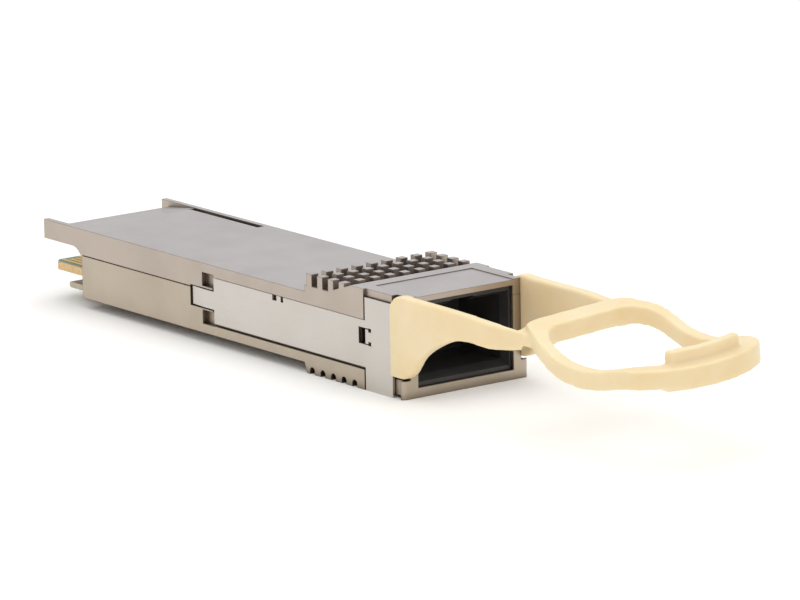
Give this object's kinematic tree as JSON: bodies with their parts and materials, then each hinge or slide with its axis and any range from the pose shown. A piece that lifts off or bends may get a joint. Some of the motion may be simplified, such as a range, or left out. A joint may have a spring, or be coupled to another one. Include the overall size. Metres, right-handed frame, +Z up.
{
  "type": "optical transceiver module",
  "caption": "Slim die-cast plug-in optical transceiver with a card edge at the rear, a finned head round a parallel-fibre port and a soft pull tab on a sprung release slider.",
  "frame": {"origin": "centre of the flat underside of the body that slides on the cage floor", "axes": "+X from the card edge to the pull tab, +Y across the width, +Z up through the heat-sink face"},
  "size_m": [0.1184, 0.0192, 0.0134],
  "materials": {
    "upper_casting": "satin nickel plate on a zinc casting",
    "lower_casting": "satin nickel plate on a zinc casting",
    "slider_steel": "bright rolled stainless sheet",
    "spring_steel": "drawn wire",
    "pull_tab": "soft matt beige moulding",
    "receptacle_plastic": "fine satin",
    "ferrule_plastic": "smooth filled polymer",
    "board_laminate": "green solder mask",
    "contact_gold": "hard gold plate",
    "chip_package": "matt moulding compound",
    "bare_die": "polished semiconductor",
    "capacitor_ceramic": "fired ceramic",
    "inductor_ferrite": "pressed ferrite",
    "gap_filler": "soft filled silicone",
    "lens_polymer": "clear amber moulding",
    "fibre_coating": "smooth acrylate",
    "gasket_elastomer": "metal-filled elastomer",
    "screw_steel": "plated steel"
  },
  "bodies": {
    "housing": {"upper_shell": "upper_casting", "lower_shell": "lower_casting", "optical_receptacle": "receptacle_plastic", "mt_ferrule": "ferrule_plastic", "guide_pins": "slider_steel", "pin_clamp": "slider_steel", "emi_gasket": "gasket_elastomer", "receptacle_clip": "slider_steel", "main_board": "board_laminate", "edge_contacts_top": "contact_gold", "edge_contacts_bottom": "contact_gold", "microcontroller_chip": "chip_package", "retimer_chips": "chip_package", "thermal_pad": "gap_filler", "laser_driver_chip": "bare_die", "receiver_amplifier_chip": "bare_die", "laser_array": "bare_die", "photodiode_array": "bare_die", "lens_block": "lens_polymer", "fibre_ribbon": "fibre_coating", "board_capacitors": "capacitor_ceramic", "power_inductors": "inductor_ferrite", "housing_screws": "screw_steel", "return_spring_near": "spring_steel", "return_spring_far": "spring_steel"},
    "release": {"release_slider": "slider_steel", "pull_tab": "pull_tab"}
  },
  "joints": [
    {"name": "release_slide", "type": "slide", "parent": "housing", "child": "release", "axis": [1, 0, 0], "range_m": [0, 0.001], "stiffness_N_per_m": 5290, "springref_m": -0.0003, "deforming": ["return_spring_near", "return_spring_far"]}
  ]
}
